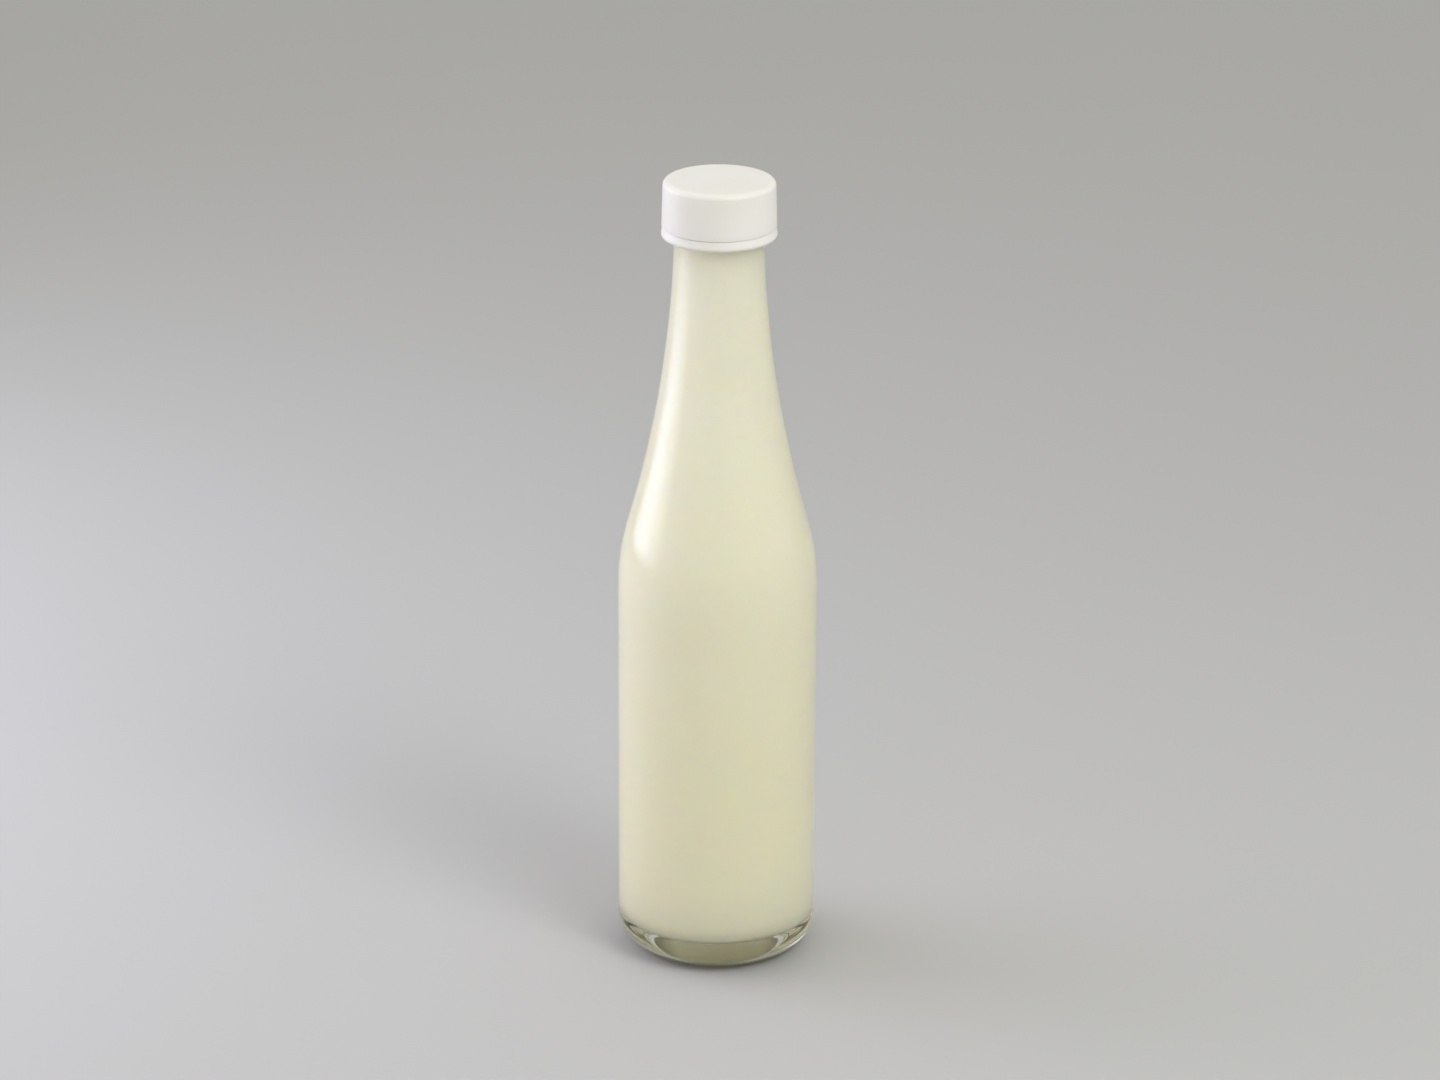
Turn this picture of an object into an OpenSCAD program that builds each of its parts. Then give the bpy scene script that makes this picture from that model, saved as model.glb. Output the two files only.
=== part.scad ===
// Tall glass milk bottle with a white screw cap and a breakaway band, filled with milk.
// Z runs up the axis of the bottle. Z = 0 is the surface that the bottle stands on.

/* [Bottle body] */
// Outside diameter of the straight body
body_d = 66; // [60:0.5:74]
// Height at which the straight body ends and the shoulder begins
shoulder_z = 128.4; // [110:0.5:145]
// Radius of the rounded shoulder
shoulder_r = 76; // [50:1:110]
// Outside radius of the heel, between the body and the base
heel_r = 11; // [8:0.5:14]
// Thickness of the glass wall
wall = 2.6; // [2.2:0.1:3.4]

/* [Bottle base] */
// Height of the inside floor where it meets the inside corner
floor_z = 9.6; // [7.5:0.1:14]
// Rise of the inside floor from its edge to its middle
floor_rise = 2; // [0.6:0.1:3]
// Radius of the inside corner between floor and wall
floor_corner_r = 7; // [4:0.5:11]
// Height of the push-up under the base
push_up_h = 6.5; // [3:0.1:7.5]
// Width of the flat ring that the bottle stands on
ring_w = 3; // [2:0.1:5]

/* [Bottle neck] */
// Height of the glass, from the standing ring to the lip
bottle_h = 264.7; // [235:0.1:295]
// Outside diameter of the straight neck under the lip
neck_d = 29.2; // [26:0.1:33]
// Length of the straight neck under the lip
neck_straight = 7.5; // [5:0.1:14]
// Rounding of the lip's two edges
lip_edge_r = 0.9; // [0.4:0.1:1.2]

/* [Screw lugs] */
// Number of screw lugs, one for each start of the thread
lug_count = 3; // [2:1:4]
// Rise of the cap in one full turn
screw_lead = 10.8; // [9.5:0.1:14]
// Height of a lug above the wall that carries it
lug_depth = 1.3; // [1:0.05:1.4]
// Width of a lug where it meets its wall
lug_w = 1.9; // [1.5:0.05:2]
// Slope of a lug's flanks, from square to the axis
lug_flank = 22; // [15:1:26]
// Sharper bend of a lug than of its wall, which lets its ends run out into the wall
lug_runout = 3.2; // [2.8:0.1:4]
// Depth of the middle of a bottle lug below the lip
lug_drop = 4.4; // [4.2:0.1:5]

/* [Locking bead] */
// Height above the neck of the bead that holds the breakaway band down
bead_h = 2; // [1.6:0.1:2.6]
// Radius of the round edge of the bead
bead_r = 1.1; // [0.8:0.05:1.2]

/* [Cap] */
// Thickness of the skirt at its lower end, where it is widest
skirt_t = 1.75; // [1.4:0.05:2.5]
// Draft of the skirt, in degrees
cap_draft = 1.5; // [0:0.1:2]
// Height of the cap from the lower end of its skirt to its top
cap_h = 15.4; // [15:0.1:17]
// Thickness of the cap's roof
roof_t = 1.6; // [1.2:0.1:2.2]
// Rounding of the edge of the cap's top
cap_edge_r = 1.9; // [0.8:0.1:2.4]
// Thickness of the sealing liner
liner_t = 1.2; // [0.8:0.1:1.8]
// Radius of the small bead that keeps the liner in the cap
keeper_r = 0.6; // [0.4:0.05:0.7]

/* [Breakaway band] */
// Step by which the band stands out from the skirt, where it is widest
band_step = 0.15; // [0:0.05:0.6]
// Height of the band
band_h = 3.55; // [3.2:0.05:5]
// Flare of the band, which widens downwards, in degrees
band_flare = 12; // [0:1:15]
// Rounding of the band's lower outside edge
band_edge_r = 1.2; // [0.5:0.1:1.4]
// Height of the slit between the skirt and the band
slit = 0.25; // [0.2:0.05:0.8]
// Number of small bridges that tie the band to the skirt until the cap is first turned
bridge_count = 12; // [6:1:18]
// Width of one bridge
bridge_w = 0.9; // [0.5:0.1:1.4]
// Number of catches inside the band
catch_count = 8; // [4:1:10]
// Angle that one catch covers, in degrees
catch_angle = 28; // [15:1:32]
// Height of one catch
catch_h = 1; // [0.6:0.1:1.2]
// Height of the band's plain foot under its catches
catch_foot = 0.5; // [0.3:0.1:0.8]

/* [Filling] */
// Depth of the milk's surface below the lip
milk_drop = 13.6; // [10:0.1:40]

/* [Clearances] */
// Gap all round between the milk and the glass
milk_film = 0.05; // [0.02:0.01:0.2]
// Gap above and below the liner
liner_fit = 0.05; // [0.02:0.01:0.15]
// Gap between screw parts, across the axis
screw_gap = 0.4; // [0.3:0.05:0.5]
// Gap between the flanks of the closed lugs, along the axis
flank_gap = 0.35; // [0.3:0.05:0.45]
// Gap between the locking bead and what passes round or under it
bead_gap = 0.45; // [0.35:0.05:0.55]
// Gap left over a bridge after it has parted
bridge_gap = 0.08; // [0.05:0.01:0.15]

/* [Hidden] */
$fn = 128;
// Smoothness of the long, shallow arcs
long_arc_fn = 1440;
// Overlap that lets one shape run into the next, or a cut run past a face
lap = 0.3;
// Length by which the shoulder's arc runs on inside the neck
arc_lap = 3;
// Few microns by which an arc crosses a straight line that it runs into, for one clean corner
touch = 0.002;
// Angle that the ends of a lug run on inside the wall
lug_bury = 2;

// Radii of the bottle's outside
body_r = body_d / 2;
neck_r = neck_d / 2;
mouth_r = neck_r - wall;

// The shoulder bulges and the neck hollows, on two arcs that meet in one tangent. The neck's radius
// is rounded up to a tenth, so that the arcs cross by a few microns and share one clean corner
neck_z = bottle_h - neck_straight;
arc_drop = body_r - neck_r;
arc_h = neck_z - shoulder_z;
arc_sum = (arc_drop * arc_drop + arc_h * arc_h) / (2 * arc_drop);
neck_arc_r = ceil((arc_sum - shoulder_r) * 10 + 0.5) / 10;
meet_angle = asin(arc_h / arc_sum);

// The floor and the push-up are shallow domes
function dome_radius(half_width, rise) = (half_width * half_width + rise * rise) / (2 * rise);
floor_half_w = body_r - wall - floor_corner_r - lap;
floor_dome_r = dome_radius(floor_half_w, floor_rise);
push_up_half_w = body_r - heel_r - ring_w;
push_up_dome_r = dome_radius(push_up_half_w, push_up_h);
milk_z = bottle_h - milk_drop;

// Levels of the closed cap, counted up and down from the lip
liner_z = bottle_h + liner_fit;
roof_z = liner_z + liner_t + liner_fit;
cap_z = roof_z + roof_t;
skirt_z = cap_z - cap_h;
band_top_z = skirt_z - slit;
band_z = band_top_z - band_h;
catch_top_z = band_z + catch_foot + catch_h;
bead_z = catch_top_z + bead_gap + bead_r;

// Radii of the closed cap, counted out from the neck and its bead
lug_crest_r = neck_r + lug_depth;
cap_bore_r = lug_crest_r + screw_gap;
cap_lug_crest_r = cap_bore_r - lug_depth;
bead_out_r = neck_r + bead_h;
skirt_bore_r = bead_out_r + bead_gap;
cap_r = skirt_bore_r + skirt_t;
band_r = cap_r + band_step;
band_round_x = band_r - band_edge_r;
band_round_z = band_z + band_edge_r;
band_top_r = band_round_x + (band_edge_r - (band_top_z - band_round_z) * sin(band_flare)) / cos(band_flare);
catch_r = bead_out_r - bead_r + lap;
liner_r = cap_bore_r - liner_fit;

// The lugs stand on planes tilted to the screw's slope, halfway up their flanks
lug_mid_r = (lug_crest_r + cap_lug_crest_r) / 2;
lug_tilt = atan(screw_lead / (2 * PI * lug_mid_r));
lug_z = bottle_h - lug_drop;
flank_share = lug_w - (cap_bore_r - neck_r) * tan(lug_flank);
cap_lug_z = lug_z - flank_share - flank_gap;

glass_tint = [0.78, 0.84, 0.78, 0.35];
milk_cream = [0.93, 0.91, 0.80];
cap_white = [0.95, 0.94, 0.91];
liner_white = [0.97, 0.97, 0.95];

// Half section of the bottle's shape, drawn in from its outside by inset and closed at two levels
module bottle_section(inset, bottom, corner, top) {
    meet_z = shoulder_z + (shoulder_r - inset) * sin(meet_angle);
    low_r = body_r - inset - corner;
    translate([0, bottom]) square([low_r, shoulder_z - bottom]);
    translate([0, bottom + corner]) square([body_r - inset, shoulder_z - bottom - corner]);
    translate([low_r, bottom + corner]) circle(corner);
    intersection() {
        translate([body_r - shoulder_r, shoulder_z]) circle(shoulder_r - inset, $fn = long_arc_fn);
        translate([0, shoulder_z]) square([body_r, meet_z - shoulder_z + arc_lap]);
    }
    difference() {
        translate([0, meet_z]) square([body_r, top - meet_z]);
        translate([neck_r + neck_arc_r, neck_z]) circle(neck_arc_r + inset, $fn = long_arc_fn);
        translate([neck_r - inset, neck_z]) square([body_r, bottle_h]);
    }
}

// Half section of the inside, with its domed floor, drawn in further by film
module inside_section(film, top) {
    difference() {
        bottle_section(wall + film, floor_z + film, floor_corner_r - film, top);
        translate([0, floor_z + floor_rise - floor_dome_r]) circle(floor_dome_r + film, $fn = long_arc_fn);
    }
}

// Half section of the lip, rounded on both edges
module lip_section() {
    edge_z = bottle_h - lip_edge_r;
    translate([mouth_r + lip_edge_r, edge_z - lap]) square([wall - 2 * lip_edge_r, lip_edge_r + lap]);
    for (r = [mouth_r + lip_edge_r, neck_r - lip_edge_r]) translate([r, edge_z]) circle(lip_edge_r);
}

// Half section of the locking bead, run into the neck
module bead_section() {
    round_r = bead_out_r - bead_r;
    translate([neck_r - lap, bead_z - bead_r]) square([round_r - neck_r + lap, 2 * bead_r]);
    translate([round_r, bead_z]) circle(bead_r);
}

// A lug on a wall of radius wall_r. Side is 1 where it stands outwards and -1 where it stands inwards
module lug(wall_r, side) {
    shift = side * lug_runout;
    crest_w = lug_w - 2 * lug_depth * tan(lug_flank);
    crest_r = wall_r + side * lug_depth;
    ring_r = crest_r - shift;
    // Angle, seen from the lug's own centre, at which its crest has sunk into the wall
    sunk = acos((wall_r * wall_r - shift * shift - ring_r * ring_r) / (2 * shift * ring_r));
    span = 2 * (sunk + lug_bury);
    translate([shift, 0, 0]) rotate([lug_tilt, 0, 0])
        rotate_extrude(angle = span, start = -span / 2)
            translate([-shift, 0]) polygon([
                [wall_r - side * lap, -lug_w / 2], [wall_r, -lug_w / 2], [crest_r, -crest_w / 2],
                [crest_r, crest_w / 2], [wall_r, lug_w / 2], [wall_r - side * lap, lug_w / 2]
            ]);
}

module lug_row(wall_r, side, z) {
    for (i = [0 : lug_count - 1]) rotate(i * 360 / lug_count) translate([0, 0, z]) lug(wall_r, side);
}

// Half section of the cap's outside, with its draft and rounded top edge
module cap_outside_section() {
    edge_z = cap_z - cap_edge_r;
    side_reach = cap_r * cos(cap_draft) + skirt_z * sin(cap_draft);
    edge_x = (side_reach - cap_edge_r - edge_z * sin(cap_draft)) / cos(cap_draft) + touch;
    polygon([
        [0, skirt_z], [cap_r, skirt_z],
        [edge_x - touch + cap_edge_r * cos(cap_draft), edge_z + cap_edge_r * sin(cap_draft)],
        [edge_x, edge_z], [edge_x, cap_z], [0, cap_z]
    ]);
    translate([edge_x, edge_z]) circle(cap_edge_r);
}

// Half section of the cap's wall and roof
module cap_section() {
    relief_z = bead_z + bead_r + bead_gap;
    difference() {
        cap_outside_section();
        translate([0, skirt_z - lap]) square([cap_bore_r, roof_z - skirt_z + lap]);
        translate([0, skirt_z - lap]) square([skirt_bore_r, relief_z - skirt_z + lap]);
    }
    intersection() {
        translate([cap_bore_r, liner_z - liner_fit - keeper_r - lap]) circle(keeper_r);
        translate([0, skirt_z]) square([cap_bore_r + lap, cap_h]);
    }
}

// Half section of the band, flared and rounded below
module band_section() {
    reach = band_edge_r - touch;
    polygon([
        [skirt_bore_r, band_z], [band_round_x, band_z], [band_round_x, band_round_z],
        [band_round_x + reach * cos(band_flare), band_round_z + reach * sin(band_flare)],
        [band_top_r - touch / cos(band_flare), band_top_z], [skirt_bore_r, band_top_z]
    ]);
    translate([band_round_x, band_round_z]) circle(band_edge_r);
}

module glass_bottle() {
    color(glass_tint) {
        rotate_extrude() {
            difference() {
                bottle_section(0, 0, heel_r, bottle_h - lip_edge_r);
                inside_section(0, bottle_h);
                translate([0, push_up_h - push_up_dome_r]) circle(push_up_dome_r, $fn = long_arc_fn);
            }
            lip_section();
            bead_section();
        }
        lug_row(neck_r, 1, lug_z);
    }
}

module milk() {
    color(milk_cream) rotate_extrude() inside_section(milk_film, milk_z);
}

module cap_shell() {
    color(cap_white) {
        rotate_extrude() cap_section();
        lug_row(cap_bore_r, -1, cap_lug_z);
    }
}

module tamper_band() {
    bridge_mid_r = (skirt_bore_r + band_top_r) / 2;
    bridge_depth = (band_top_r - skirt_bore_r) / 2;
    color(cap_white) {
        rotate_extrude() band_section();
        for (i = [0 : catch_count - 1]) rotate(i * 360 / catch_count)
            rotate_extrude(angle = catch_angle)
                translate([catch_r, band_z + catch_foot]) square([skirt_bore_r - catch_r + lap, catch_h]);
        for (i = [0 : bridge_count - 1]) rotate(i * 360 / bridge_count)
            translate([bridge_mid_r - bridge_depth / 2, -bridge_w / 2, band_top_z - lap])
                cube([bridge_depth, bridge_w, lap + slit - bridge_gap]);
    }
}

module seal_liner() {
    color(liner_white) translate([0, 0, liner_z]) cylinder(r = liner_r, h = liner_t);
}

glass_bottle();
milk();
cap_shell();
tamper_band();
seal_liner();
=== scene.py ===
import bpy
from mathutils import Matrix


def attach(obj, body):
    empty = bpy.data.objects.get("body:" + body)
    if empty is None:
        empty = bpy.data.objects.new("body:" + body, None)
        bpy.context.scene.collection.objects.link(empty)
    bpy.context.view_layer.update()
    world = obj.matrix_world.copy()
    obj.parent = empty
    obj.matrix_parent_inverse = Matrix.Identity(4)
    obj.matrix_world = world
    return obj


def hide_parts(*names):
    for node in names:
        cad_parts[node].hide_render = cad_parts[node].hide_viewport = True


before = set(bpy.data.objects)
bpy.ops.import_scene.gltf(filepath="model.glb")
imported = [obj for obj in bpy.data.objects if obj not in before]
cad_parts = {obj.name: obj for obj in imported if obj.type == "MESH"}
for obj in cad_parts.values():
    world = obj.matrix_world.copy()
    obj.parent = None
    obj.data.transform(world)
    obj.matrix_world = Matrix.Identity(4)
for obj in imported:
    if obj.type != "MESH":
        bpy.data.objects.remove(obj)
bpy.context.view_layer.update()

import math

import bmesh
import bpy
from mathutils import Matrix, Vector

mm = 0.001
fullTurn = 2 * math.pi
up = Vector((0, 0, 1))


# half sections are drawn in millimetres, with X across the bottle and Z up

class Section:
    def __init__(self, x, z):
        self.bm = bmesh.new()
        self.start = self.bm.verts.new((x * mm, 0, z * mm))
        self.tip = self.start
        self.rounded = []

    def roundTip(self, radius):
        self.rounded.append((self.tip, radius))
        return self

    def lineTo(self, x, z, cuts=0, rounding=0):
        begin, end = self.tip.co.copy(), Vector((x * mm, 0, z * mm))
        for i in range(cuts + 1):
            made = bmesh.ops.extrude_vert_indiv(self.bm, verts=[self.tip])
            self.tip = made["verts"][0]
            self.tip.co = begin.lerp(end, (i + 1) / (cuts + 1))
        if rounding:
            self.roundTip(rounding)
        return self

    def arc(self, x, z, degrees, steps):  # positive degrees turn from +X towards +Z
        made = bmesh.ops.spin(
            self.bm, geom=[self.tip], cent=(x * mm, 0, z * mm), axis=(0, -1, 0),
            angle=math.radians(degrees), steps=steps)
        self.tip = [v for v in made["geom_last"] if isinstance(v, bmesh.types.BMVert)][0]
        return self

    def close(self):
        self.bm.edges.new((self.tip, self.start))
        return self

    def soften(self):
        for vert, radius in self.rounded:
            bmesh.ops.bevel(
                self.bm, geom=[vert], offset=radius * mm, offset_type="OFFSET", affect="VERTICES",
                segments=5, profile=0.5, material=-1)
        self.rounded = []
        return self

    def turned(self, steps, angle=fullTurn, centre=(0, 0, 0), axis=up):
        self.soften()
        whole = abs(angle - fullTurn) < 1e-6
        bmesh.ops.spin(
            self.bm, geom=self.bm.verts[:] + self.bm.edges[:], cent=centre, axis=axis,
            angle=angle, steps=steps, use_merge=whole)
        bmesh.ops.remove_doubles(self.bm, verts=self.bm.verts[:], dist=1e-6)
        if not whole:
            ends = [e for e in self.bm.edges if e.is_boundary]
            bmesh.ops.holes_fill(self.bm, edges=ends, sides=0)
        bmesh.ops.recalc_face_normals(self.bm, faces=self.bm.faces[:])
        return self.bm


def repeatRound(bm, count):
    bmesh.ops.spin(
        bm, geom=bm.verts[:] + bm.edges[:] + bm.faces[:], cent=(0, 0, 0), axis=up,
        angle=fullTurn * (count - 1) / count, steps=count - 1, use_duplicate=True)
    bmesh.ops.recalc_face_normals(bm, faces=bm.faces[:])
    return bm


def newObject(name, bm):
    mesh = bpy.data.meshes.new(name)
    bm.to_mesh(mesh)
    bm.free()
    obj = bpy.data.objects.new(name, mesh)
    bpy.context.scene.collection.objects.link(obj)
    return obj


def fuse(obj, bm):  # joins what stands on a piece into the piece's own skin
    extra = newObject(obj.name + "_extra", bm)
    union = obj.modifiers.new("union", "BOOLEAN")
    union.operation, union.solver, union.object = "UNION", "EXACT", extra
    depsgraph = bpy.context.evaluated_depsgraph_get()
    joined = bpy.data.meshes.new_from_object(obj.evaluated_get(depsgraph))
    obj.modifiers.remove(union)
    obj.data = joined
    obj.data.name = obj.name
    bpy.data.objects.remove(extra)


def finishPiece(obj, node, body, material, sharpAngle=32):
    obj.data.shade_smooth()
    obj.data.set_sharp_from_angle(angle=math.radians(sharpAngle))
    obj.data.materials.clear()
    obj.data.materials.append(material)
    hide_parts(node)
    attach(obj, body)
    print("made", obj.name, len(obj.data.polygons), "faces")


# shader sums are written as plain Python on wrapped sockets

class Wire:
    def __init__(self, graph, socket):
        self.graph, self.socket = graph, socket

    def sum(self, operation, first, second):
        return self.graph.add("ShaderNodeMath", {"operation": operation}, {0: first, 1: second})

    def __add__(self, other):
        return self.sum("ADD", self, other)

    def __radd__(self, other):
        return self.sum("ADD", other, self)

    def __sub__(self, other):
        return self.sum("SUBTRACT", self, other)

    def __rsub__(self, other):
        return self.sum("SUBTRACT", other, self)

    def __mul__(self, other):
        return self.sum("MULTIPLY", self, other)

    def __rmul__(self, other):
        return self.sum("MULTIPLY", other, self)


class Graph:
    def __init__(self, owner):
        owner.use_nodes = True
        self.tree = owner.node_tree
        self.tree.nodes.clear()

    def add(self, kind, settings=None, sockets=None, out=0):
        node = self.tree.nodes.new(kind)
        for key, value in (settings or {}).items():
            setattr(node, key, value)
        for key, value in (sockets or {}).items():
            if isinstance(value, Wire):
                self.tree.links.new(value.socket, node.inputs[key])
            else:
                node.inputs[key].default_value = value
        return Wire(self, node.outputs[out]) if len(node.outputs) else node

    def along(self, axis, vector):
        return self.add("ShaderNodeSeparateXYZ", None, {0: vector}, axis)

    def band(self, value, low, high):  # 0 below low, 1 above high
        return self.add("ShaderNodeMapRange", {"interpolation_type": "SMOOTHSTEP"}, {
            "Value": value, "From Min": low, "From Max": high}, "Result")


class Finish(Graph):
    def __init__(self, name):
        self.material = bpy.data.materials.new(name)
        super().__init__(self.material)
        self.place = self.add("ShaderNodeTexCoord", out="Object")

    def noise(self, scale, detail=2, roughness=0.5):
        return self.add("ShaderNodeTexNoise", None, {
            "Vector": self.place, "Scale": scale, "Detail": detail, "Roughness": roughness}, "Fac")

    def height(self):
        return self.along("Z", self.place)

    def mixColour(self, factor, first, second):
        return self.add("ShaderNodeMix", {"data_type": "RGBA"}, {
            0: factor, 6: first, 7: second}, 2)

    def bump(self, height, strength, distance):
        return self.add("ShaderNodeBump", None, {
            "Height": height, "Strength": strength, "Distance": distance})

    def surface(self, sockets, volume=None):
        shader = self.add("ShaderNodeBsdfPrincipled", None, sockets)
        ends = {"Surface": shader}
        if volume:
            ends["Volume"] = volume
        self.add("ShaderNodeOutputMaterial", None, ends)
        return self.material


def shaded(colour, shade):
    return [c * shade for c in colour[:3]] + [1]


glassLook = {
    "clear": (0.99, 0.992, 0.985, 1), "ior": 1.5,
    # painted shade: the olive base and its darker lower edge stand in for shade and the contact
    # shadow, over the glass's own green absorption
    "paintedBaseShade": (0.60, 0.60, 0.47, 1), "baseShadeLow": 5 * mm, "baseShadeHigh": 13 * mm,
    "paintedContactShadow": (0.22, 0.22, 0.17, 1), "contactShadowLow": 1 * mm, "contactShadowHigh": 6 * mm,
    "absorb": (0.62, 0.61, 0.45, 1), "density": 8,
    "waves": 34, "fineWaves": 136, "fineShare": 0.25, "waveStrength": 0.05, "waveHeight": 0.4 * mm,
    "polish": 0.004, "smears": 220, "smearRough": 0.02,
    "footLow": 0.2 * mm, "footHigh": 1.2 * mm, "scuffs": 1500, "scuffRough": 0.22,
}


def clearGlass():
    look, f = glassLook, Finish("clearGlass")
    waves = f.noise(look["waves"]) + look["fineShare"] * f.noise(look["fineWaves"])
    aboveBaseShade = f.band(f.height(), look["baseShadeLow"], look["baseShadeHigh"])  # the thick base gets a painted olive shade, standing in for the shaded milk seen through it; the glass's own green comes from the absorption
    aboveContactShadow = f.band(f.height(), look["contactShadowLow"], look["contactShadowHigh"])  # its lower edge gets a darker painted shadow, standing in for the contact shadow under the heel
    paintedBaseShades = f.mixColour(aboveContactShadow, look["paintedContactShadow"], look["paintedBaseShade"])
    glassTintAndShade = f.mixColour(aboveBaseShade, paintedBaseShades, look["clear"])
    foot = 1 - f.band(f.height(), look["footLow"], look["footHigh"])  # the standing ring is scuffed
    smears = f.band(f.noise(look["smears"], 4, 0.6), 0.5, 0.9)
    scuffs = look["scuffRough"] * foot * f.noise(look["scuffs"], 3)
    rough = look["polish"] + look["smearRough"] * smears + scuffs
    volume = f.add("ShaderNodeVolumeAbsorption", None, {
        "Color": look["absorb"], "Density": look["density"]})
    return f.surface({
        "Base Color": glassTintAndShade, "Roughness": rough, "IOR": look["ior"],
        "Transmission Weight": 1.0,
        "Normal": f.bump(waves, look["waveStrength"], look["waveHeight"])}, volume)


milkLook = {
    # the first colour is the milk's own, shown low down; the second, lighter one towards the top is
    # painted light
    "milk": (0.95, 0.912, 0.755, 1), "paintedLitMilk": (0.992, 0.966, 0.825, 1),
    "lowZ": 20 * mm, "highZ": 240 * mm, "clouds": 18, "cloudShare": 0.2,
    "scatter": (1.0, 0.85, 0.55), "depth": 4 * mm,
    "rough": 0.3, "roughSpread": 0.08, "roughScale": 90,
    "ripples": 60, "rippleStrength": 0.05, "rippleHeight": 0.2 * mm,
}


def creamMilk():
    look, f = milkLook, Finish("creamMilk")
    clouds = f.band(f.noise(look["clouds"], 3), 0.3, 0.7)
    paintedLightToTop = f.band(f.height(), look["lowZ"], look["highZ"])  # painted light: the milk turns lighter towards the top, as the top is lit more
    paintedLightAndClouds = (1 - look["cloudShare"]) * paintedLightToTop + look["cloudShare"] * clouds
    colour = f.mixColour(paintedLightAndClouds, look["milk"], look["paintedLitMilk"])
    rough = look["rough"] + look["roughSpread"] * f.noise(look["roughScale"])
    ripples = f.bump(f.noise(look["ripples"]), look["rippleStrength"], look["rippleHeight"])
    return f.surface({
        "Base Color": colour, "Roughness": rough, "Subsurface Weight": 1.0,
        "Subsurface Radius": look["scatter"], "Subsurface Scale": look["depth"],
        "Normal": ripples})


plasticLook = {
    "white": (0.80, 0.785, 0.74), "warm": (0.78, 0.76, 0.70), "flow": 45, "flowRough": 0.04,
    "through": 0.35, "scatter": (1.0, 0.92, 0.8), "depth": 1.6 * mm,
    "rough": 0.36, "roughSpread": 0.1, "roughScale": 400,
    "grain": 2600, "grainStrength": 0.12, "grainHeight": 0.03 * mm,
}


def capPlastic(name, shade):
    look, f = plasticLook, Finish(name)
    flow = f.band(f.noise(look["flow"], 3), 0.3, 0.75)
    colour = f.mixColour(flow, shaded(look["white"], shade), shaded(look["warm"], shade))
    grain = f.bump(f.noise(look["grain"]), look["grainStrength"], look["grainHeight"])
    mottle = look["roughSpread"] * f.noise(look["roughScale"], 3)
    rough = look["rough"] + mottle + look["flowRough"] * flow
    return f.surface({
        "Base Color": colour, "Roughness": rough, "Subsurface Weight": look["through"],
        "Subsurface Radius": look["scatter"], "Subsurface Scale": look["depth"],
        "Normal": grain})


linerLook = {
    "foam": (0.84, 0.84, 0.82, 1), "pore": (0.76, 0.76, 0.73, 1), "cells": 1800,
    "rough": 0.6, "roughSpread": 0.15, "cellStrength": 0.3, "cellHeight": 0.05 * mm,
}


def linerFoam():
    look, f = linerLook, Finish("linerFoam")
    cells = f.noise(look["cells"], 3, 0.65)
    colour = f.mixColour(f.band(cells, 0.35, 0.65), look["pore"], look["foam"])
    return f.surface({
        "Base Color": colour, "Roughness": look["rough"] + look["roughSpread"] * cells,
        "Normal": f.bump(cells, look["cellStrength"], look["cellHeight"])})


# the bottle, in glass

bottle = {
    "bodyR": 33.0, "heelR": 11.0, "ringR": 19.0, "ringEdgeR": 0.7, "pushUpH": 6.5, "wall": 2.6,
    "shoulderZ": 128.4, "shoulderR": 76.0, "neckZ": 257.2, "neckR": 14.6, "neckArcR": 384.0,
    "lipZ": 264.7, "lipR": 0.9, "lugDrop": 4.4,
    "beadZ": 251.45, "beadR": 1.1, "beadOutR": 16.6, "beadFootR": 0.35,
    "floorZ": 9.6, "floorRise": 2.0, "floorR": 23.1, "cornerR": 7.0,
    "steps": 256, "domeSteps": 14, "heelSteps": 16, "bodyCuts": 11, "shoulderSteps": 14,
    "neckSteps": 36, "beadSteps": 14, "finishCuts": 4, "lipSteps": 8, "mouthCuts": 3,
    "cornerSteps": 12, "sharpAngle": 40,
}
bottle["shoulderX"] = bottle["bodyR"] - bottle["shoulderR"]
bottle["neckX"] = bottle["neckR"] + bottle["neckArcR"]
bottle["meet"] = math.degrees(math.asin(
    (bottle["neckZ"] - bottle["shoulderZ"]) / (bottle["shoulderR"] + bottle["neckArcR"])))
bottle["cornerX"] = bottle["bodyR"] - bottle["wall"] - bottle["cornerR"]
bottle["cornerZ"] = bottle["floorZ"] + bottle["cornerR"]


def domeRadius(halfWidth, rise):
    return (halfWidth ** 2 + rise ** 2) / (2 * rise)


def domeAngle(halfWidth, rise):
    return math.degrees(math.asin(halfWidth / domeRadius(halfWidth, rise)))


def angleBelowNeck(z, radius):  # along the neck's long arc
    return math.degrees(math.asin((bottle["neckZ"] - z) / radius))


def radiusOnNeck(z):
    b = bottle
    return b["neckX"] - math.sqrt(b["neckArcR"] ** 2 - (b["neckZ"] - z) ** 2)


lugs = {
    "count": 3, "lead": 10.8, "depth": 1.3, "width": 1.9, "flank": 22, "runout": 3.2, "bury": 2,
    "sunk": 0.3, "midR": 15.45, "edgeR": 0.18, "steps": 32,
}


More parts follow.
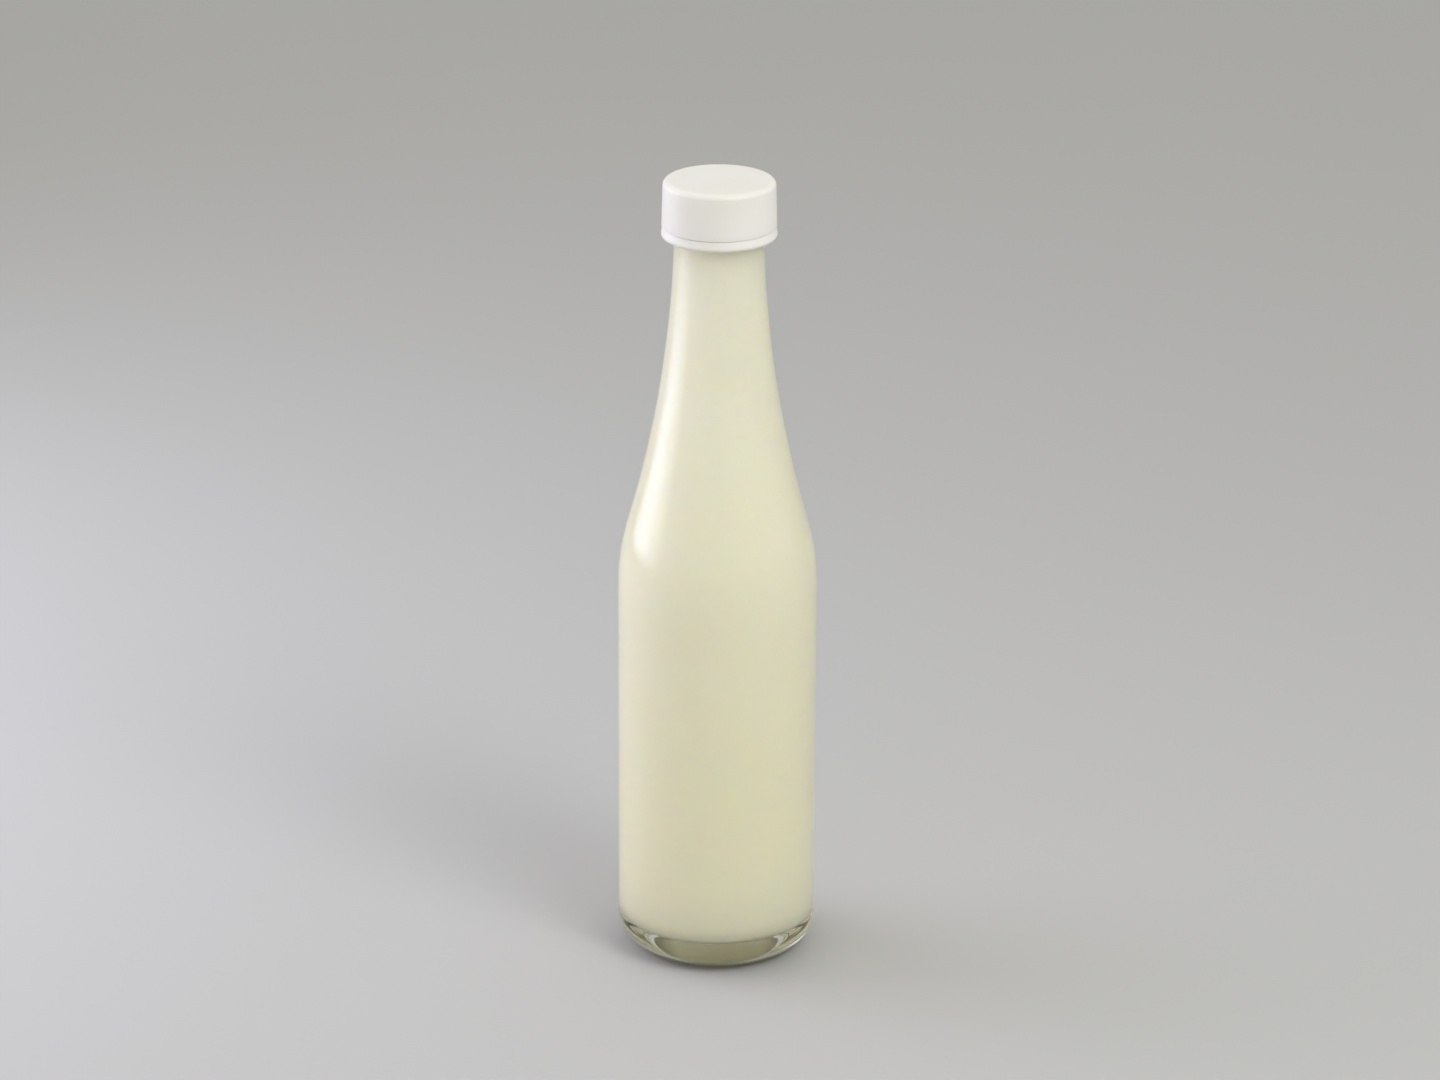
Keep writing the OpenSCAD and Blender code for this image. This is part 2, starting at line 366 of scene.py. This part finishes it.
def lugRow(wallR, side, z):
    g = lugs
    shift = side * g["runout"]
    crestR = wallR + side * g["depth"]
    ringR = crestR - shift
    crestW = g["width"] - 2 * g["depth"] * math.tan(math.radians(g["flank"]))
    sinks = math.acos((wallR ** 2 - shift ** 2 - ringR ** 2) / (2 * shift * ringR))
    span = 2 * (sinks + math.radians(g["bury"]))
    tilt = Matrix.Rotation(math.atan(g["lead"] / (fullTurn * g["midR"])), 3, "X")
    rootR = wallR - side * g["sunk"]
    s = Section(rootR, z - g["width"] / 2)
    s.lineTo(wallR, z - g["width"] / 2).lineTo(crestR, z - crestW / 2, rounding=g["edgeR"])
    s.lineTo(crestR, z + crestW / 2, rounding=g["edgeR"]).lineTo(wallR, z + g["width"] / 2)
    s.lineTo(rootR, z + g["width"] / 2).close().soften()
    centre, axis = Vector((shift * mm, 0, z * mm)), tilt @ up
    bmesh.ops.rotate(s.bm, cent=centre, matrix=tilt, verts=s.bm.verts[:])
    bmesh.ops.rotate(
        s.bm, cent=centre, matrix=Matrix.Rotation(-span / 2, 3, axis), verts=s.bm.verts[:])
    s.turned(g["steps"], span, centre, axis)
    return repeatRound(s.bm, g["count"])


def makeGlass():
    b = bottle
    meet, neckX, wall = b["meet"], b["neckX"], b["wall"]
    heelX, lipX = b["bodyR"] - b["heelR"], b["neckR"] - b["lipR"]
    beadX = b["beadOutR"] - b["beadR"]
    beadLow, beadHigh = b["beadZ"] - b["beadR"], b["beadZ"] + b["beadR"]
    edgeZ, mouthR = b["lipZ"] - b["lipR"], b["neckR"] - wall
    s = Section(0, b["pushUpH"])
    pushUp = domeRadius(b["ringR"], b["pushUpH"])
    s.arc(0, b["pushUpH"] - pushUp, -domeAngle(b["ringR"], b["pushUpH"]), b["domeSteps"])
    s.roundTip(b["ringEdgeR"])
    s.lineTo(heelX, 0).arc(heelX, b["heelR"], 90, b["heelSteps"])
    s.lineTo(b["bodyR"], b["shoulderZ"], cuts=b["bodyCuts"])
    s.arc(b["shoulderX"], b["shoulderZ"], meet, b["shoulderSteps"])
    s.arc(neckX, b["neckZ"], angleBelowNeck(beadLow, b["neckArcR"]) - meet, b["neckSteps"])
    s.roundTip(b["beadFootR"])
    s.lineTo(beadX, beadLow).arc(beadX, b["beadZ"], 180, b["beadSteps"])
    s.lineTo(radiusOnNeck(beadHigh), beadHigh, rounding=b["beadFootR"])
    s.arc(neckX, b["neckZ"], -angleBelowNeck(beadHigh, b["neckArcR"]), b["finishCuts"])
    s.lineTo(b["neckR"], edgeZ, cuts=b["finishCuts"]).arc(lipX, edgeZ, 90, b["lipSteps"])
    s.lineTo(mouthR + b["lipR"], b["lipZ"]).arc(mouthR + b["lipR"], edgeZ, 90, b["lipSteps"])
    s.lineTo(mouthR, b["neckZ"], cuts=b["mouthCuts"])
    s.arc(neckX, b["neckZ"], meet, b["neckSteps"])
    s.arc(b["shoulderX"], b["shoulderZ"], -meet, b["shoulderSteps"])
    s.lineTo(b["bodyR"] - wall, b["cornerZ"], cuts=b["bodyCuts"])
    s.arc(b["cornerX"], b["cornerZ"], -90, b["cornerSteps"])
    s.lineTo(b["floorR"], b["floorZ"])
    domeZ = b["floorZ"] + b["floorRise"] - domeRadius(b["floorR"], b["floorRise"])
    s.arc(0, domeZ, domeAngle(b["floorR"], b["floorRise"]), b["domeSteps"])
    glass = newObject("glassBottle", s.turned(b["steps"]))
    fuse(glass, lugRow(b["neckR"], 1, b["lipZ"] - b["lugDrop"]))
    finishPiece(glass, "glass_bottle", "bottle", clearGlass(), b["sharpAngle"])


# the filling wets the glass, so its skin lies just inside the wall

filling = {
    "wet": 0.12, "topZ": 251.1, "dip": 0.7, "creep": 2.4, "bendX": 0.35, "bendZ": 0.72,
    "bendR": 0.3, "flatR": 0.5, "topCuts": 3, "steps": 192, "sharpAngle": 50,
}


def makeMilk():
    b, m = bottle, filling
    wet, meet = m["wet"], b["meet"]
    s = Section(0, b["floorZ"] + b["floorRise"] - wet)
    domeZ = b["floorZ"] + b["floorRise"] - domeRadius(b["floorR"], b["floorRise"])
    s.arc(0, domeZ, -domeAngle(b["floorR"], b["floorRise"]), b["domeSteps"])
    s.lineTo(b["cornerX"], b["floorZ"] - wet)
    s.arc(b["cornerX"], b["cornerZ"], 90, b["cornerSteps"])
    s.lineTo(b["bodyR"] - b["wall"] + wet, b["shoulderZ"], cuts=b["bodyCuts"])
    s.arc(b["shoulderX"], b["shoulderZ"], meet, b["shoulderSteps"])
    innerR = b["neckArcR"] + b["wall"] - wet
    s.arc(b["neckX"], b["neckZ"], angleBelowNeck(m["topZ"], innerR) - meet, b["neckSteps"])
    edgeX, flatZ = s.tip.co.x / mm, m["topZ"] - m["dip"]
    s.lineTo(edgeX - wet * 2, m["topZ"])
    s.lineTo(
        edgeX - m["creep"] * m["bendX"], m["topZ"] - m["dip"] * m["bendZ"], rounding=m["bendR"])
    s.lineTo(edgeX - m["creep"], flatZ, rounding=m["flatR"])
    s.lineTo(0, flatZ, cuts=m["topCuts"])
    milk = newObject("milkFilling", s.turned(m["steps"]))
    finishPiece(milk, "milk", "bottle", creamMilk(), m["sharpAngle"])


# the screw cap and the disc that seals it

cap = {
    "topZ": 267.6, "skirtZ": 252.07, "skirtR": 18.8, "draft": 1.5, "edgeR": 1.9, "roofZ": 266.0,
    "boreR": 16.3, "reliefR": 17.05, "reliefZ": 253.0, "keeperZ": 263.8, "keeperR": 0.6,
    "lugZ": 258.62, "skirtEdgeR": 0.2, "reliefEdgeR": 0.15, "boreEdgeR": 0.2, "roofEdgeR": 0.3,
    "steps": 256, "edgeSteps": 12, "keeperSteps": 10, "cuts": 5, "shade": 1.0,
}


def makeCap():
    c = cap
    draft = math.radians(c["draft"])
    edgeZ = c["topZ"] - c["edgeR"]
    edgeX = (c["skirtR"] - (edgeZ - c["skirtZ"]) * math.tan(draft)
             - c["edgeR"] / math.cos(draft))
    s = Section(0, c["topZ"])
    s.lineTo(edgeX, c["topZ"], cuts=c["cuts"])
    s.arc(edgeX, edgeZ, c["draft"] - 90, c["edgeSteps"])
    s.lineTo(c["skirtR"], c["skirtZ"], cuts=c["cuts"], rounding=c["skirtEdgeR"])
    s.lineTo(c["reliefR"], c["skirtZ"], rounding=c["reliefEdgeR"])
    s.lineTo(c["reliefR"], c["reliefZ"])
    s.lineTo(c["boreR"], c["reliefZ"], rounding=c["boreEdgeR"])
    s.lineTo(c["boreR"], c["keeperZ"] - c["keeperR"], cuts=c["cuts"])
    s.arc(c["boreR"], c["keeperZ"], -180, c["keeperSteps"])
    s.lineTo(c["boreR"], c["roofZ"], rounding=c["roofEdgeR"])
    s.lineTo(0, c["roofZ"], cuts=c["cuts"])
    shell = newObject("capShell", s.turned(c["steps"]))
    fuse(shell, lugRow(c["boreR"], -1, c["lugZ"]))
    finishPiece(shell, "cap_shell", "cap", capPlastic("capPlastic", c["shade"]))


liner = {
    "lowZ": 264.75, "thick": 1.2, "outR": 16.25, "edgeR": 0.22, "markIn": 12.7, "markOut": 13.9,
    "markDeep": 0.14, "markEdgeR": 0.2, "markFloorR": 0.25, "lowCuts": 4, "highCuts": 5,
    "steps": 160,
}


def makeLiner():
    n = liner
    highZ = n["lowZ"] + n["thick"]
    middle = (n["markIn"] + n["markOut"]) / 2
    s = Section(0, n["lowZ"])
    s.lineTo(n["markIn"], n["lowZ"], cuts=n["lowCuts"], rounding=n["markEdgeR"])
    s.lineTo(middle, n["lowZ"] + n["markDeep"], rounding=n["markFloorR"])  # pressed in by the lip
    s.lineTo(n["markOut"], n["lowZ"], rounding=n["markEdgeR"])
    s.lineTo(n["outR"], n["lowZ"], rounding=n["edgeR"])
    s.lineTo(n["outR"], highZ, rounding=n["edgeR"]).lineTo(0, highZ, cuts=n["highCuts"])
    disc = newObject("sealLiner", s.turned(n["steps"]))
    finishPiece(disc, "seal_liner", "liner", linerFoam())


# the ring that stays on the neck when the cap is first turned

band = {
    "lowZ": 248.4, "highZ": 251.95, "outR": 18.95, "inR": 17.05, "edgeR": 1.2, "flare": 12,
    "inLowR": 0.2, "inHighR": 0.15, "outHighR": 0.12, "edgeSteps": 12, "steps": 256,
    "catches": 8, "catchR": 15.8, "catchZ": 248.9, "catchH": 1.0, "catchAngle": 28,
    "catchLowR": 0.15, "catchHighR": 0.25, "catchSteps": 20,
    "bridges": 12, "bridgeW": 0.9, "bridgeTop": 252.0, "torn": (0.8, 0.7, 1), "sunk": 0.3,
    "shade": 0.99,
}


def catchRow():
    d = band
    rootR, highZ = d["inR"] + d["sunk"], d["catchZ"] + d["catchH"]
    s = Section(d["catchR"], d["catchZ"]).roundTip(d["catchLowR"])
    s.lineTo(rootR, d["catchZ"]).lineTo(rootR, highZ)
    s.lineTo(d["catchR"], highZ, rounding=d["catchHighR"]).close()
    s.turned(d["catchSteps"], math.radians(d["catchAngle"]))
    return repeatRound(s.bm, d["catches"])


def bridgeRow(topR):
    d = band
    lowZ = d["highZ"] - d["sunk"]
    bm = bmesh.new()
    bmesh.ops.create_cube(bm, size=mm)
    bmesh.ops.scale(bm, verts=bm.verts[:], vec=(
        (topR - d["inR"]) / 2, d["bridgeW"], d["bridgeTop"] - lowZ))
    tips = [v for v in bm.verts if v.co.z > 0]
    bmesh.ops.scale(bm, verts=tips, vec=d["torn"])
    bmesh.ops.translate(bm, verts=bm.verts[:], vec=(
        (d["inR"] + topR) / 2 * mm, 0, (lowZ + d["bridgeTop"]) / 2 * mm))
    return repeatRound(bm, d["bridges"])


def makeBand():
    d = band
    footX, footZ = d["outR"] - d["edgeR"], d["lowZ"] + d["edgeR"]
    flare = math.radians(d["flare"])
    topR = footX + (d["edgeR"] - (d["highZ"] - footZ) * math.sin(flare)) / math.cos(flare)
    s = Section(d["inR"], d["lowZ"]).roundTip(d["inLowR"])
    s.lineTo(footX, d["lowZ"]).arc(footX, footZ, 90 + d["flare"], d["edgeSteps"])
    s.lineTo(topR, d["highZ"], cuts=1, rounding=d["outHighR"])
    s.lineTo(d["inR"], d["highZ"], rounding=d["inHighR"]).close()
    ring = newObject("breakawayBand", s.turned(d["steps"]))
    fuse(ring, catchRow())
    fuse(ring, bridgeRow(topR))
    finishPiece(ring, "tamper_band", "band", capPlastic("bandPlastic", d["shade"]))


makeGlass()
makeMilk()
makeCap()
makeLiner()
makeBand()


# floor, light and camera

studio = {
    "floor": (0.47, 0.47, 0.465, 1), "floorZ": -0.0003, "floorR": 5.0, "floorSides": 96,
    "floorRough": 0.7, "roughSpread": 0.1, "grain": 6, "grainShade": 0.985,
    "ambient": (1, 0.99, 0.945, 1), "ambientLevel": 0.75, "backdrop": (0.62, 0.62, 0.615, 1),
}


def makeFloor():
    f = Finish("paleFloor")
    grain = f.noise(studio["grain"], 3)
    colour = f.mixColour(grain, studio["floor"], shaded(studio["floor"], studio["grainShade"]))
    rough = studio["floorRough"] + studio["roughSpread"] * grain
    material = f.surface({"Base Color": colour, "Roughness": rough})
    bm = bmesh.new()
    bmesh.ops.create_circle(
        bm, cap_ends=True, segments=studio["floorSides"], radius=studio["floorR"])
    bmesh.ops.translate(bm, verts=bm.verts[:], vec=(0, 0, studio["floorZ"]))
    floor = newObject("floor", bm)
    floor.data.materials.append(material)


def makeWorld():
    world = bpy.data.worlds.new("studioWorld")
    bpy.context.scene.world = world
    g = Graph(world)
    rays = ("Is Camera Ray", "Is Glossy Ray", "Is Transmission Ray")
    seen = sum(g.add("ShaderNodeLightPath", out=ray) for ray in rays)
    ambient = g.add("ShaderNodeBackground", None, {
        "Color": studio["ambient"], "Strength": studio["ambientLevel"]})
    shown = g.add("ShaderNodeBackground", None, {"Color": studio["backdrop"]})
    mix = g.add("ShaderNodeMixShader", None, {0: seen, 1: ambient, 2: shown})
    g.add("ShaderNodeOutputWorld", None, {"Surface": mix})


softBoxes = {
    "key": {
        "place": (-0.62, 0.18, 0.37), "aim": (0, 0, 0.24), "size": (1.16, 0.70), "power": 10.4,
        "tone": (0.83, 0.81, 1, 1), "fade": {"X": (0.5, 0.5), "Y": (0.14, 0.5)},
    },
    "fill": {
        "place": (0.50, -0.62, 0.80), "aim": (0, 0, 0.13), "size": (0.75, 0.75), "power": 18.0,
        "tone": (0.97, 0.98, 1, 1), "fade": {"X": (0.5, 0.5), "Y": (0.5, 0.5)},
    },
}


def makeLamp(name, box):
    lamp = bpy.data.lights.new(name, "AREA")
    lamp.shape = "RECTANGLE"
    lamp.size, lamp.size_y = box["size"]
    lamp.energy = box["power"]
    g = Graph(lamp)
    place = g.add("ShaderNodeNewGeometry", out="Parametric")
    glow = 1
    for axis, (low, high) in box["fade"].items():  # each box fades towards its edges
        across = g.along(axis, place)
        glow = glow * g.band(across, 0, low) * g.band(across, 1, 1 - high)
    g.add("ShaderNodeOutputLight", None, {
        "Surface": g.add("ShaderNodeEmission", None, {"Color": box["tone"], "Strength": glow})})
    obj = bpy.data.objects.new(name, lamp)
    obj.location = box["place"]
    towards = Vector(box["aim"]) - obj.location
    obj.rotation_euler = towards.to_track_quat("-Z", "Y").to_euler()
    bpy.context.scene.collection.objects.link(obj)


view = {
    "aim": (0, 0, 0.1432), "distance": 2.0, "elevation": 20.30, "roll": 0.258,
    "lens": 151.25, "sensor": 36, "shiftX": 0.00146, "clip": (0.05, 50),
}


def makeCamera():
    lens = bpy.data.cameras.new("photoCamera")
    lens.sensor_width, lens.lens = view["sensor"], view["lens"]
    lens.shift_x = view["shiftX"]
    lens.clip_start, lens.clip_end = view["clip"]
    camera = bpy.data.objects.new("photoCamera", lens)
    rise = math.radians(view["elevation"])
    back = Vector((0, -math.cos(rise), math.sin(rise))) * view["distance"]
    camera.location = Vector(view["aim"]) + back
    look = (-back).to_track_quat("-Z", "Y").to_matrix()
    roll = Matrix.Rotation(math.radians(view["roll"]), 3, "Z")
    camera.rotation_euler = (look @ roll).to_euler()
    bpy.context.scene.collection.objects.link(camera)
    bpy.context.scene.camera = camera


makeFloor()
makeWorld()
for lampName, softBox in softBoxes.items():
    makeLamp(lampName, softBox)
makeCamera()
bpy.context.scene.view_settings.view_transform = "Standard"
# the milk is lit by light that goes in and out through the glass
cycles = bpy.context.scene.cycles
cycles.blur_glossy = 0
cycles.max_bounces, cycles.diffuse_bounces = 32, 16
cycles.glossy_bounces, cycles.transmission_bounces = 16, 24
print("studio ready")
